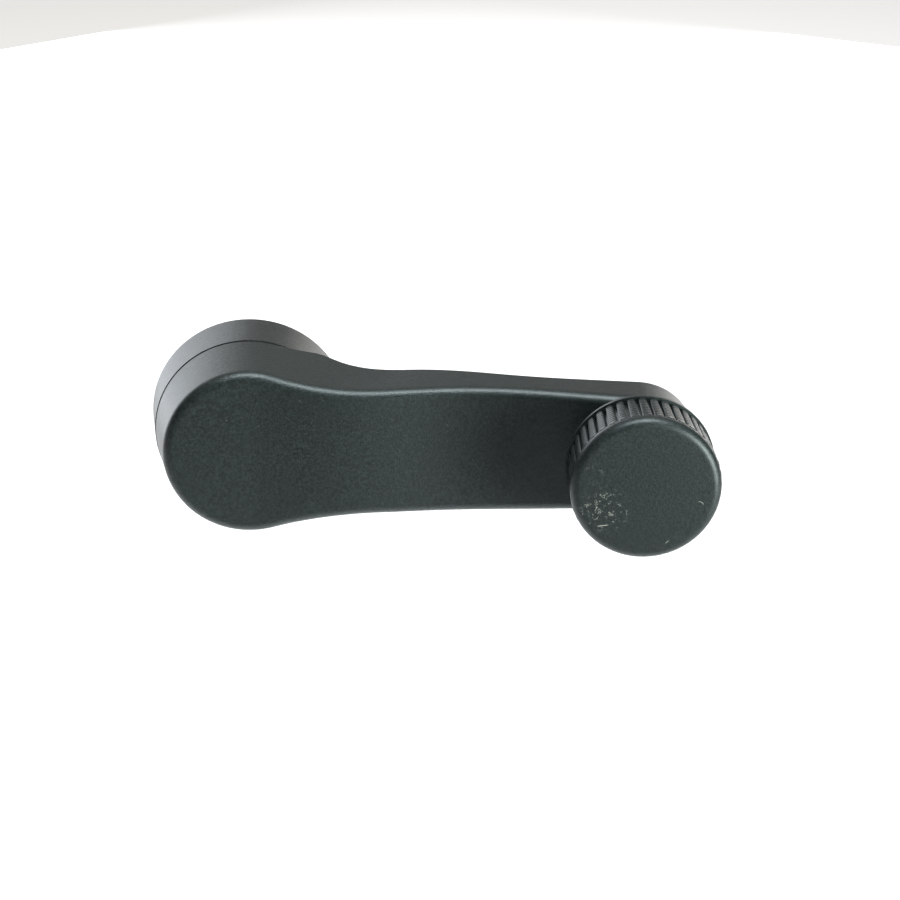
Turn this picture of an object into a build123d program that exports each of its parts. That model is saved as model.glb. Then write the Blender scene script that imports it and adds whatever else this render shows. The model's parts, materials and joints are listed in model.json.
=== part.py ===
"""Car window winder: a moulded lever, a sliding release ring and a ribbed knob on a steel spindle.

Lengths are in millimetres. Each piece is drawn on a bench, with x along the lever towards the knob,
y across it and z outwards from the door. It is then stood up, so that the row's +Z is up, -Y points
out of the door, and the origin is the centre of the shaft socket's mouth, level with the door trim.
"""

import os
from math import asin, cos, pi, radians, sin, sqrt, tan

from build123d import *

# Lever, seen from the front. The waist's half width is the hub's radius less the waist step.
throw = 88.0
hub_radius = 21.7
waist_step = 6.55
end_narrowing = 1.4
neck_end = 29.0
taper_start = 45.0
hub_draft = 8.7
lever_draft = 4.0

# Lever, seen from the side. Heights are from the door trim.
seam_height = 12.5
hub_face = 28.1
shoulder_face = 29.65
waist_face = 28.6
ramp_face = 30.5
knob_end_face = 32.5
shoulder_place = 24.0
waist_place = 48.0
ramp_length = 18.0
lift_start = 15.5
lift_run = 5.2
lift_rise = 2.2
middle_place = 40.0
middle_rise = 4.9
rear_rise = 8.6
end_rise = 10.4
rear_length = 26.0

# Lever shell and the carrier that closes its back.
cover_wall = 2.2
face_fillet = 2.4
carrier_gap = 0.1
carrier_recess = 0.6
carrier_plate = 2.2
carrier_rib = 1.6
rib_gap = 0.3
rib_pitch = 14.0
foot_inset = 0.9
hub_pad_height = 0.4

# Shaft socket. The shaft slides in a plain pilot and then into a serrated steel bush.
shaft_radius = 5.0
socket_gap = 0.1
shaft_groove_depth = 0.8
serration_count = 40
serration_depth = 0.4
bush_shoulder = 1.9
relief_gap = 0.3
boss_wall = 1.5

# Release ring and its locking fork.
ring_back_radius = 22.8
ring_front_radius = 21.85
ring_wall = 2.0
ring_edge = 0.8
seam_gap = 0.25
ring_travel = 4.0
web_height = 8.0
web_thickness = 2.0
boss_gap = 0.5
collar_wall = 1.5
collar_height = 2.0
ring_rib_count = 8
fork_thickness = 1.2
fork_gap = 0.1
fork_arm = 3.0
fork_tip = 1.5
fork_bridge = 6.0
fork_slot_gap = 0.25
stake_radius = 1.25
stake_gap = 0.05
stake_stand = 0.7
hook_inset = 6.0
hook_leg = 1.5
hook_length = 8.0
hook_reach = 1.6
hook_foot = 1.4
hook_gap = 0.2
slot_gap = 0.3

# Knob spindle and its washers.
spindle_radius = 4.0
head_radius = 6.0
head_height = 1.5
head_recess = 0.1
backing_width = 3.3
backing_thickness = 0.8
head_gap = 0.2
spindle_boss_wall = 1.5
spindle_boss_height = 3.1
cover_hole_gap = 0.3
seat_radius = 11.5
seat_height = 1.1
washer_gap = 0.2
thrust_width = 5.0
thrust_thickness = 0.8
spring_width = 4.2
spring_thickness = 0.35
spring_rise = 0.45
knob_play = 0.1

# Knob.
knob_radius = 17.0
knob_taper = 0.5
rib_stand = 0.2
knob_length = 17.7
flange_thickness = 0.8
flange_stand = 0.4
neck_wall = 1.2
neck_gap = 0.3
neck_length = 2.9
neck_stand = 0.25
cap_skirt = 11.4
cap_face = 2.4
cap_wall = 2.55
cap_fillet = 2.1
grip_count = 40
groove_rim_width = 1.4
groove_front_width = 0.5
groove_rim_depth = 1.0
groove_front_depth = 0.7
bearing_gap = 0.05
bearing_wall = 1.5
bearing_length = 11.7
clip_groove_depth = 0.8
clip_thickness = 0.8
clip_width = 2.6
clip_play = 0.05
clip_opening = 4.4
clip_washer_width = 2.0
clip_washer_thickness = 0.7
clip_well_gap = 0.3
spindle_tip = 1.4
spindle_chamfer = 0.4

# Heights worked out from the sizes above.
seat_top = knob_end_face + seat_height
thrust_top = seat_top + thrust_thickness
spring_top = thrust_top + spring_thickness + spring_rise
neck_bottom = spring_top + knob_play
flange_bottom = neck_bottom + neck_length
cap_bottom = flange_bottom + flange_thickness
knob_top = neck_bottom + knob_length
skirt_top = cap_bottom + cap_skirt
cap_ceiling = knob_top - cap_face
bearing_top = neck_bottom + bearing_length
clip_bottom = bearing_top + knob_play + clip_washer_thickness
spindle_top = clip_bottom + clip_thickness + spindle_tip
carrier_back = seam_height + end_rise + carrier_recess
head_bottom = carrier_back + head_recess
backing_bottom = head_bottom + head_height
backing_top = backing_bottom + backing_thickness
spindle_boss_top = backing_top + spindle_boss_height
plate_top = seam_height + carrier_recess + carrier_plate
hub_boss_top = hub_face - cover_wall - hub_pad_height
web_top = web_height + web_thickness
ring_top = seam_height - seam_gap

# Radii worked out from the sizes above.
socket_radius = shaft_radius + socket_gap
bush_radius = socket_radius + bush_shoulder
boss_radius = bush_radius + boss_wall
fork_half_gap = shaft_radius - shaft_groove_depth + fork_gap
backing_radius = spindle_radius + backing_width
spindle_boss_radius = backing_radius + head_gap + spindle_boss_wall
bearing_radius = spindle_radius + bearing_gap + bearing_wall
washer_well_radius = spindle_radius + washer_gap + thrust_width + neck_gap
neck_radius = washer_well_radius + neck_wall
core_radius = knob_radius - cap_wall
clip_well_radius = spindle_radius + clip_washer_width + clip_well_gap

lever_half_width = hub_radius - waist_step

# The lever's arcs meet tangentially at the same two angles at every height.
neck_rise = hub_radius - (waist_face - seam_height) * tan(radians(hub_draft))
neck_arc = (neck_end**2 / (neck_rise - lever_half_width) - neck_rise - lever_half_width) / 2
neck_angle = asin(neck_end / (neck_rise + neck_arc))
end_reach = throw - taper_start
end_arc = end_reach**2 / (2 * end_narrowing) + lever_half_width - end_narrowing / 2
taper_angle = asin(end_reach / (end_arc - lever_half_width + end_narrowing))

outer_reach = 2 * throw
margin = 1.0


def bar(low, high):
    """A box between two opposite corners."""
    size = [b - a for a, b in zip(low, high)]
    middle = [(a + b) / 2 for a, b in zip(low, high)]
    return Pos(*middle) * Box(*size)


def rod(radius, low, high, x=0.0, y=0.0):
    """A cylinder along z between two heights."""
    return Pos(x, y, (low + high) / 2) * Cylinder(radius, high - low)


def tube(inner, outer, low, high, x=0.0):
    """A ring along z between two heights."""
    return rod(outer, low, high, x) - rod(inner, low - margin, high + margin, x)


def turned(points, x=0.0):
    """A body of revolution about z from its half section, given as (radius, height) corners."""
    section = make_face(Polyline(*[(r, 0, z) for r, z in points], close=True))
    return Pos(x, 0, 0) * revolve(section, Axis.Z)


def lever_outline(height, inset):
    """The lever's outline at one height: hub, waisted neck, straight side, taper and round end."""
    hub = hub_radius - (height - seam_height) * tan(radians(hub_draft)) - inset
    side = lever_half_width - (height - waist_face) * tan(radians(lever_draft)) - inset
    end = side - end_narrowing
    neck = (hub * cos(neck_angle) - side) / (1 - cos(neck_angle))
    taper = (side - end * cos(taper_angle)) / (1 - cos(taper_angle))
    neck_x = (hub + neck) * sin(neck_angle)
    taper_x = throw - (taper - end) * sin(taper_angle)
    leave_hub = (hub * sin(neck_angle), hub * cos(neck_angle))
    neck_middle = (
        neck_x - neck * sin(neck_angle / 2),
        side + neck - neck * cos(neck_angle / 2),
    )
    taper_middle = (
        taper_x + taper * sin(taper_angle / 2),
        side - taper + taper * cos(taper_angle / 2),
    )
    meet_end = (throw + end * sin(taper_angle), end * cos(taper_angle))
    upper = ThreePointArc(leave_hub, neck_middle, (neck_x, side))
    upper += Line((neck_x, side), (taper_x, side))
    upper += ThreePointArc((taper_x, side), taper_middle, meet_end)
    round_hub = ThreePointArc((leave_hub[0], -leave_hub[1]), (-hub, 0), leave_hub)
    round_end = ThreePointArc(meet_end, (throw + end, 0), (meet_end[0], -meet_end[1]))
    edges = round_hub + upper + round_end + mirror(upper, about=Plane.XZ)
    return Pos(0, 0, height) * make_face(edges.edges())


def drafted_body(inset):
    """The lever's drafted side walls, taller than the lever, moved in by an inset."""
    low = seam_height - 2 * margin
    high = knob_end_face + 2 * cover_wall
    return loft([lever_outline(low, inset), lever_outline(high, inset)], ruled=True)


def face_points(drop):
    """The lever's front face along its length: a shallow waist that climbs to the knob."""
    left = -hub_radius - cover_wall
    right = throw + lever_half_width + cover_wall
    return [
        (left, hub_face - drop),
        (0, hub_face - drop),
        (shoulder_place / 2, (hub_face + shoulder_face) / 2 + hub_pad_height / 2 - drop),
        (shoulder_place, shoulder_face - drop),
        (waist_place, waist_face - drop),
        (throw - ramp_length, ramp_face - drop),
        (throw, knob_end_face - drop),
        (right, knob_end_face + hub_pad_height - drop),
    ]


def back_points(raised):
    """The lever's back along its length: level at the hub, then lifting off the door."""
    left = -hub_radius - cover_wall
    right = throw + lever_half_width + cover_wall
    base = seam_height + raised
    return [
        (left, base),
        (lift_start, base),
        (lift_start + lift_run, base + lift_rise),
        (middle_place, base + middle_rise),
        (throw - rear_length, base + rear_rise),
        (throw, base + end_rise),
        (right, base + end_rise),
    ]


def profile_line(points):
    """A side profile that is level as far as its second point and smooth from there on."""
    return Line(points[0], points[1]) + Spline(*points[1:], tangents=[(1, 0), (1, 0)])


def side_slab(back, face):
    """Everything between a back line and a face line, seen from the side, across the whole width."""
    ends = Line(back[0], face[0]) + Line(back[-1], face[-1])
    section = make_face((profile_line(back) + profile_line(face) + ends).edges())
    return extrude(Plane.XZ.offset(-outer_reach / 2) * section, outer_reach)


def arm_cover():
    """The outer moulding: drafted walls, a waisted face with a rounded edge and a seat for the knob."""
    shell = drafted_body(0) & side_slab(back_points(0), face_points(0))
    shell = fillet(shell.faces().sort_by(Axis.Z)[-1].edges(), face_fillet)
    hollow = drafted_body(cover_wall)
    hollow &= side_slab(back_points(-4 * margin), face_points(cover_wall))
    shell -= hollow
    inside = drafted_body(margin)
    hub_pad = rod(boss_radius, hub_boss_top, hub_face - margin)
    end_pad = rod(spindle_boss_radius, spindle_boss_top, knob_end_face - margin, throw)
    seat = rod(seat_radius, knob_end_face - cover_wall / 2, seat_top, throw)
    shell += (hub_pad + end_pad + seat) & inside
    return shell - rod(spindle_radius + cover_hole_gap, seam_height, seat_top + margin, throw)


def carrier_ribs():
    """One rib along the middle of the lever and cross ribs at an even pitch between the two bosses."""
    top = knob_end_face
    first = boss_radius - margin
    last = throw - spindle_boss_radius + margin
    half = carrier_rib / 2
    ribs = bar((first, -half, seam_height + margin), (last, half, top))
    count = int((last - first) / rib_pitch)
    for number in range(1, count + 1):
        x = first + number * (last - first) / (count + 1)
        ribs += bar((x - half, -outer_reach / 2, plate_top - margin), (x + half, outer_reach / 2, top))
    ribs += bar((-hub_radius, -half, seam_height + margin), (-first, half, top))
    return ribs


def arm_carrier():
    """The stiff inner lever: back plate, ribs, shaft boss and the boss that holds the spindle."""
    inset = cover_wall + carrier_gap
    walls = drafted_body(inset)
    room = walls & side_slab(back_points(carrier_recess), face_points(cover_wall + rib_gap))
    plate = walls & side_slab(
        back_points(carrier_recess), back_points(carrier_recess + carrier_plate)
    )
    hub_pad_room = rod(boss_radius + carrier_gap, hub_boss_top, knob_end_face)
    end_pad_room = rod(spindle_boss_radius + carrier_gap, spindle_boss_top, seat_top, throw)
    body = plate + ((carrier_ribs() & room) - hub_pad_room - end_pad_room)
    foot_radius = hub_radius - cover_wall - foot_inset
    body += rod(foot_radius, seam_height, plate_top - margin / 2)
    body += rod(boss_radius, 0, hub_boss_top)
    body += rod(spindle_boss_radius, carrier_back, spindle_boss_top, throw) & walls
    body -= rod(socket_radius, -margin, seam_height)
    body -= rod(socket_radius + relief_gap, web_top - fork_slot_gap, seam_height)
    body -= rod(bush_radius, seam_height, hub_boss_top + margin)
    body -= rod(backing_radius + head_gap, seam_height, backing_top, throw)
    body -= rod(spindle_radius, seam_height, spindle_boss_top + margin, throw)
    hook_inner = hub_radius - cover_wall - hook_inset
    slot_low = web_top - fork_slot_gap
    slot_high = web_top + fork_thickness + fork_slot_gap
    fork_inner = fork_half_gap - fork_slot_gap / 2
    for side in (1, -1):
        window_low = (-hook_length / 2 - slot_gap, side * (hook_inner - slot_gap), seam_height - margin)
        window_high = (
            hook_length / 2 + ring_travel + slot_gap,
            side * (hook_inner + hook_leg + slot_gap),
            plate_top + margin,
        )
        body -= bar_between(window_low, window_high)
        body -= bar_between(
            (-boss_radius - margin, side * fork_inner, slot_low),
            (boss_radius + margin, side * (boss_radius + margin), slot_high),
        )
    return body


def bar_between(corner, opposite):
    """A box between any two opposite corners, in either order."""
    low = [min(a, b) for a, b in zip(corner, opposite)]
    high = [max(a, b) for a, b in zip(corner, opposite)]
    return bar(low, high)


def spline_bush():
    """Steel bush with a serrated bore that the regulator shaft drives."""
    root = shaft_radius - shaft_groove_depth / 4
    points = []
    for number in range(2 * serration_count):
        radius = root - serration_depth * (number % 2)
        angle = number * pi / serration_count
        points.append((radius * cos(angle), radius * sin(angle)))
    bore = extrude(make_face(Polyline(*points, close=True)), hub_boss_top - seam_height)
    return rod(bush_radius, seam_height, hub_boss_top) - Pos(0, 0, seam_height) * bore


def release_ring():
    """Spacer ring that slides towards the knob to free the lever from the shaft."""
    inner_back = ring_back_radius - ring_wall
    inner_front = ring_front_radius - ring_wall
    wall = turned(
        [
            (inner_back, 0),
            (ring_back_radius - ring_edge, 0),
            (ring_back_radius, ring_edge),
            (ring_front_radius, ring_top),
            (inner_front, ring_top),
        ]
    )
    slot_radius = boss_radius + boss_gap
    hole = ring_slot(slot_radius, -margin, ring_top + margin)
    web = rod(inner_back - ring_wall / 4, web_height, web_top)
    collar = ring_slot(slot_radius + collar_wall, collar_height, web_height + margin)
    half = carrier_rib / 2
    ribs = Part()
    for number in range(ring_rib_count):
        spoke = bar((slot_radius, -half, collar_height), (inner_front + margin, half, web_height + margin))
        ribs += Rot(0, 0, (number + 0.5) * 360 / ring_rib_count) * spoke
    body = wall + web + collar + ribs - hole
    hook_inner = hub_radius - cover_wall - hook_inset
    foot_low = plate_top + hook_gap
    stake_x = fork_stake_place()
    for side in (1, -1):
        leg_low = (-hook_length / 2, side * hook_inner, web_top - margin)
        leg_high = (hook_length / 2, side * (hook_inner + hook_leg), foot_low + hook_foot)
        foot_corner = (-hook_length / 2, side * hook_inner, foot_low)
        foot_opposite = (
            hook_length / 2,
            side * (hook_inner + hook_leg + hook_reach),
            foot_low + hook_foot,
        )
        body += bar_between(leg_low, leg_high) + bar_between(foot_corner, foot_opposite)
        stake_top = web_top + fork_thickness + stake_stand
        body += rod(stake_radius, web_top - margin, stake_top, stake_x, side * fork_arm_middle())
    return body


def ring_slot(radius, low, high):
    """A hole as long as the ring's travel, round at both ends, that the shaft boss passes through."""
    middle = bar((-ring_travel, -radius, low), (0, radius, high))
    return rod(radius, low, high) + rod(radius, low, high, -ring_travel) + middle


def fork_arm_middle():
    """Distance of each fork arm's middle from the shaft axis."""
    return fork_half_gap + fork_arm / 2


def fork_bridge_start():
    """Where the fork's bridge starts, clear of the slot that the boss passes through."""
    return boss_radius + boss_gap + margin / 2


def fork_stake_place():
    """Where the two moulded stakes hold the fork's bridge."""
    return fork_bridge_start() + fork_bridge / 2


def lock_fork():
    """Steel fork whose two arms sit in the shaft's groove until the ring slides."""
    low = web_top
    high = web_top + fork_thickness
    outer = fork_half_gap + fork_arm
    end = fork_bridge_start() + fork_bridge
    body = bar((-fork_tip, -outer, low), (end, outer, high))
    body -= bar(
        (-fork_tip - margin, -fork_half_gap, low - margin),
        (fork_bridge_start(), fork_half_gap, high + margin),
    )
    body = fillet(body.edges().filter_by(Axis.Z).group_by(Axis.X)[0], fork_arm / 3)
    for side in (1, -1):
        body -= rod(
            stake_radius + stake_gap, low - margin, high + margin,
            fork_stake_place(), side * fork_arm_middle(),
        )
    return body


def knob_spindle():
    """Steel pin with a head at the lever's back and a groove for the clip at its tip."""
    groove_radius = spindle_radius - clip_groove_depth
    body = rod(spindle_radius, backing_bottom - margin / 2, spindle_top)
    body = chamfer(body.edges().sort_by(Axis.Z)[-1], spindle_chamfer)
    head = rod(head_radius, head_bottom, backing_bottom)
    head = fillet(head.edges().sort_by(Axis.Z)[0], head_height / 2)
    groove = tube(
        groove_radius, spindle_radius + margin,
        clip_bottom - clip_play, clip_bottom + clip_thickness + clip_play,
    )
    return Pos(throw, 0, 0) * (body + head - groove)


def backing_washer():
    """Steel washer that spreads the spindle head's load over the carrier."""
    return tube(spindle_radius, backing_radius, backing_bottom, backing_top, throw)


def thrust_washer():
    """Low-friction washer between the lever's seat and the turning knob."""
    inner = spindle_radius + washer_gap
    return tube(inner, inner + thrust_width, seat_top, thrust_top, throw)


def spring_washer():
    """Conical spring washer that takes up the knob's end play."""
    inner = spindle_radius + washer_gap
    outer = inner + spring_width
    return turned(
        [
            (outer, thrust_top),
            (outer, thrust_top + spring_thickness),
            (inner, spring_top),
            (inner, spring_top - spring_thickness),
        ],
        throw,
    )


def clip_washer():
    """Steel washer under the clip, which the bearing turns against."""
    inner = spindle_radius + washer_gap / 2
    outer = spindle_radius + clip_washer_width
    return tube(inner, outer, clip_bottom - clip_washer_thickness, clip_bottom, throw)


def spindle_clip():
    """Open steel clip in the spindle's groove."""
    groove_radius = spindle_radius - clip_groove_depth
    high = clip_bottom + clip_thickness
    body = tube(groove_radius, groove_radius + clip_width, clip_bottom, high)
    half = clip_opening / 2
    body -= bar((0, -half, clip_bottom - margin), (head_radius + margin, half, high + margin))
    return Pos(throw, 0, 0) * body


def knob_bearing():
    """Acetal sleeve that turns on the spindle."""
    return tube(spindle_radius + bearing_gap, bearing_radius, neck_bottom, bearing_top, throw)


def knob_core():
    """The knob's inner body: neck, rim flange and a sleeve that the cap is pressed on."""
    flange_radius = knob_radius - knob_taper + flange_stand
    body = turned(
        [
            (bearing_radius, neck_bottom),
            (washer_well_radius, neck_bottom),
            (washer_well_radius, seat_top + neck_stand),
            (neck_radius, seat_top + neck_stand),
            (neck_radius, flange_bottom - neck_length / 3),
            (neck_radius + neck_length / 3, flange_bottom),
            (flange_radius, flange_bottom),
            (flange_radius, cap_bottom),
            (core_radius, cap_bottom),
            (core_radius, cap_ceiling),
            (clip_well_radius, cap_ceiling),
            (clip_well_radius, bearing_top),
            (bearing_radius, bearing_top),
        ],
        throw,
    )
    return body


def grip_groove():
    """One moulded groove, wide and deep at the rim and narrow and shallow at the front."""
    low = cap_bottom - margin / 10
    rim_floor = knob_radius - knob_taper - groove_rim_depth
    front_floor = knob_radius - groove_front_depth
    reach = 2 * margin
    rim = Pos(rim_floor + reach / 2, 0, low) * Rectangle(reach, groove_rim_width)
    front = Pos(front_floor + reach / 2, 0, skirt_top) * Rectangle(reach, groove_front_width)
    return loft([rim, front], ruled=True)


def knob_cap():
    """The ribbed outer cap with a smooth rounded face."""
    band_radius = knob_radius - rib_stand
    body = turned(
        [
            (core_radius, cap_bottom),
            (knob_radius - knob_taper, cap_bottom),
            (knob_radius, skirt_top),
            (band_radius, skirt_top),
            (band_radius, knob_top),
            (0, knob_top),
            (0, cap_ceiling),
            (core_radius, cap_ceiling),
        ]
    )
    body = fillet(body.faces().sort_by(Axis.Z)[-1].edges(), cap_fillet)
    groove = grip_groove()
    grooves = Part()
    for number in range(grip_count):
        grooves += Rot(0, 0, number * 360 / grip_count) * groove
    return Pos(throw, 0, 0) * (body - grooves)


def write(name, piece):
    """Stands a piece up from the bench and writes it."""
    export_step(Plane.XZ.location * piece, f"parts/{name}.step")


os.makedirs("parts", exist_ok=True)
write("arm_cover", arm_cover())
write("arm_carrier", arm_carrier())
write("spline_bush", spline_bush())
write("release_ring", release_ring())
write("lock_fork", lock_fork())
write("knob_spindle", knob_spindle())
write("backing_washer", backing_washer())
write("thrust_washer", thrust_washer())
write("spring_washer", spring_washer())
write("clip_washer", clip_washer())
write("spindle_clip", spindle_clip())
write("knob_bearing", knob_bearing())
write("knob_core", knob_core())
write("knob_cap", knob_cap())
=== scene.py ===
"""Looks of a car window winder: moulded lever, sliding release ring and ribbed knob.

Lengths inside the shape functions are in millimetres on a bench: x runs along the lever towards the
knob, y across it and z outwards from the door. ``stand`` turns them into the frame's metres.
"""

import json
import math

import bmesh
import bpy
import numpy as np
from bpy.props import FloatProperty, FloatVectorProperty, IntProperty, PointerProperty
from mathutils import Matrix, Vector


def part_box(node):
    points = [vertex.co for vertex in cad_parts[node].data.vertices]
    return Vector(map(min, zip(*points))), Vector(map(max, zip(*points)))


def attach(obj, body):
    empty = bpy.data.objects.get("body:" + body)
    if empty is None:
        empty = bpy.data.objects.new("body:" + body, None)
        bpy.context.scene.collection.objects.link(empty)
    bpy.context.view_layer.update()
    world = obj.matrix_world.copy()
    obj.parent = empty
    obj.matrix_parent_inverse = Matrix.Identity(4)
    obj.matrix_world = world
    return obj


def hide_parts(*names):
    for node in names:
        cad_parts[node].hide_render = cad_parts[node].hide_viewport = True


bl_info = {
    "name": "Window Winder",
    "version": (1, 0, 0),
    "blender": (4, 5, 0),
    "location": "View3D > Sidebar > Winder",
    "description": "Builds the surfaces, finishes and stage of a car window winder",
    "category": "Add Mesh",
}

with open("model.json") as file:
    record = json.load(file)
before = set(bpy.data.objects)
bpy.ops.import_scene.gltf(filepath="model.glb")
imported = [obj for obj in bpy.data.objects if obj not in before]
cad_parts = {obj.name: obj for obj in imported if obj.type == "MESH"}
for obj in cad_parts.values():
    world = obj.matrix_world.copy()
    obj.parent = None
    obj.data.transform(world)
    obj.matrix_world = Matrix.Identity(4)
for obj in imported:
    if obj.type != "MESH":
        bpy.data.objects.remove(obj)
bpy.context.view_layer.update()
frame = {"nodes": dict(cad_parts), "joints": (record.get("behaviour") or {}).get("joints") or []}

knob_pin = next(joint["pos_m"] for joint in frame["joints"] if joint["child"] == "knob")
cover_low, cover_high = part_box("arm_cover")
ring_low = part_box("release_ring")[0]
cap_low, cap_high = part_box("knob_cap")

# The lever's outline and side profile, as heights and as places along the lever.
SEAM = -cover_high.y * 1000
HUB_DRAFT = math.tan(math.radians(8.7))
LEVER_DRAFT = math.tan(math.radians(4.0))
WAIST_FACE = 28.6
NECK_END = 29.0
TAPER_START = 45.0
FACE_POINTS = [
    (0, 28.1), (12, 29.075), (24, 29.65), (48, 28.6), (70, 30.5), (88, 32.5), (105.4, 32.9),
]
BACK_POINTS = [(15.5, 0.0), (20.7, 2.2), (40.0, 4.9), (62.0, 8.6), (88.0, 10.4), (105.4, 10.4)]
OUTER_RIM = 0.16
INNER_RIM = 0.2
# The face's lines start on a slit along the middle, and past the gate on the seat's circle.
SLIT_START = -10.0
GATE_BEFORE_KNOB = 14.0
# The knob's raised seat, its hole and the hollow under it.
SEAT_RADIUS = 11.5
SEAT_TOP = 33.6
SEAT_EDGE = 0.3
HOLE_RADIUS = 4.3
HOLE_END = 31.0
HOLLOW_RADIUS = 9.0
HOLLOW_TOP = 29.0
# The knob's cap.
CAP_BOTTOM = 39.0
SKIRT_TOP = 50.4
CAP_CEILING = 50.6
CAP_BORE = 14.45
CAP_CROWN = 0.22
FRONT_GROOVE_DEPTH = 0.8
RUNG_DEPTH = 0.1
RUNG_HALF_WIDTH = 0.13
RIB_CLOSING = 0.55
# The mould's grain, in metres.
GRAIN_DEPTH = 0.00007
# Turning marks on steel: radians of a sine wave for each metre from the axis.
TURNING_PHASE = 9000.0


def lengths(name, description, default, low=0.0, high=1.0):
    """A length property in metres."""
    return FloatProperty(
        name=name, description=description, default=default, min=low, max=high,
        precision=4, subtype="DISTANCE", unit="LENGTH",
    )


def colour(name, description, default):
    """A linear colour property."""
    return FloatVectorProperty(
        name=name, description=description, default=default, min=0.0, max=1.0, size=3, subtype="COLOR"
    )


class LeverSizes(bpy.types.PropertyGroup):
    """Sizes of the lever's outer moulding."""

    throw: lengths("Throw", "Shaft axis to knob axis", knob_pin[0])
    hub_radius: lengths("Hub radius", "Radius of the hub at the seam", -cover_low.x)
    half_width: lengths("Half width", "Half the lever's width at its waist", 0.01515)
    end_narrowing: lengths("End narrowing", "How much narrower each side is at the knob", 0.0014)
    wall: lengths("Wall", "Thickness of the moulding", 0.0022)
    edge: lengths("Edge radius", "Rounding between the face and the side walls", 0.0024)
    crown: lengths("Crown", "How far the face falls away towards its edges", 0.0002)


class KnobSizes(bpy.types.PropertyGroup):
    """Sizes of the knob's cap."""

    radius: lengths("Radius", "Radius over the ribs at the front", cap_high.z)
    taper: lengths("Taper", "How much smaller the ribs' radius is at the rim", 0.0005)
    ribs: IntProperty(name="Ribs", description="Number of ribs round the knob", default=40, min=8, max=80)
    rim_groove: lengths("Rim groove", "Groove width at the rim", 0.00095)
    front_groove: lengths("Front groove", "Groove width at the front", 0.0005)
    depth: lengths("Groove depth", "Depth of the grooves at the rim", 0.0012)
    edge: lengths("Edge radius", "Rounding between the side and the face", 0.0021)
    rung: lengths("Rung pitch", "Spacing of the fine rungs across each rib", 0.0011)


class FinishColours(bpy.types.PropertyGroup):
    """Colours of the winder's finishes."""

    lever: colour("Lever", "Satin black of the lever", (0.0088, 0.0122, 0.0114))
    ring: colour("Ring", "Satin black of the release ring", (0.0125, 0.0135, 0.0125))
    knob: colour("Knob", "Satin black of the knob", (0.0088, 0.0122, 0.0115))
    # This colour is real scuffs and dust on the knob, and also the painted highlight glints along the
    # ring's seam.
    wear_and_glint: colour("Wear", "Pale scuffs and dust", (0.34, 0.32, 0.28))
    carrier: colour("Carrier", "Glass-filled nylon", (0.0260, 0.0265, 0.0275))
    zinc: colour("Zinc", "Zinc-plated steel", (0.58, 0.57, 0.54))
    spring: colour("Spring steel", "Oiled spring steel", (0.25, 0.245, 0.24))
    acetal: colour("Acetal", "Natural acetal", (0.72, 0.70, 0.64))


class StageSettings(bpy.types.PropertyGroup):
    """Floor, light and camera."""

    floor_drop: lengths("Floor drop", "Floor below the shaft axis", 0.30, high=3.0)
    floor_colour: colour("Floor colour", "Pale floor", (0.93, 0.93, 0.93))
    turn: FloatProperty(
        name="Turn", description="Camera turn to the left", default=math.radians(2.8), subtype="ANGLE"
    )
    rise: FloatProperty(
        name="Rise", description="Camera height angle", default=math.radians(22.56), subtype="ANGLE"
    )
    distance: lengths("Distance", "Camera distance", 0.7067, high=5.0)
    world: FloatProperty(
        name="Surroundings", description="Brightness all round", default=0.03, min=0.0, max=5.0
    )


# Shapes


def stand(points):
    """Bench millimetres to the frame's metres: (x, y, z) becomes (x, -z, y) / 1000."""
    return np.stack([points[..., 0], -points[..., 2], points[..., 1]], -1) / 1000


def woven(grids):
    """Vertices and quads of several grids. Each grid is rows x columns x 3, and every quad joins a point
    to its next in the row, the next row's and its own in the next row."""
    points, quads, start = [], [], 0
    for grid in grids:
        rows, columns = grid.shape[:2]
        number = start + np.arange(rows * columns).reshape(rows, columns)
        corners = (number[:-1, :-1], number[:-1, 1:], number[1:, 1:], number[1:, :-1])
        quads.append(np.stack(corners, -1).reshape(-1, 4))
        points.append(grid.reshape(-1, 3))
        start += rows * columns
    return np.concatenate(points), np.concatenate(quads)


def make_piece(name, grids, crease=38.0):
    """One closed mesh from grids whose borders meet. Equal points are merged, which closes seams and
    poles, and shading is smooth except across edges sharper than the crease angle."""
    points, quads = woven(grids)
    mesh = bpy.data.meshes.new(name)
    mesh.from_pydata(stand(points).tolist(), [], quads.tolist())
    work = bmesh.new()
    work.from_mesh(mesh)
    bmesh.ops.remove_doubles(work, verts=work.verts, dist=2e-6)
    bmesh.ops.recalc_face_normals(work, faces=work.faces)
    work.to_mesh(mesh)
    work.free()
    mesh.shade_smooth()
    mesh.set_sharp_from_angle(angle=math.radians(crease))
    piece = bpy.data.objects.new(name, mesh)
    bpy.context.scene.collection.objects.link(piece)
    return piece


def finish_piece(piece, body, node, finish):
    """Rides a piece on its body in place of its CAD node and gives it its finish."""
    piece.data.materials.append(finish)
    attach(piece, body)
    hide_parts(node)


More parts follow.
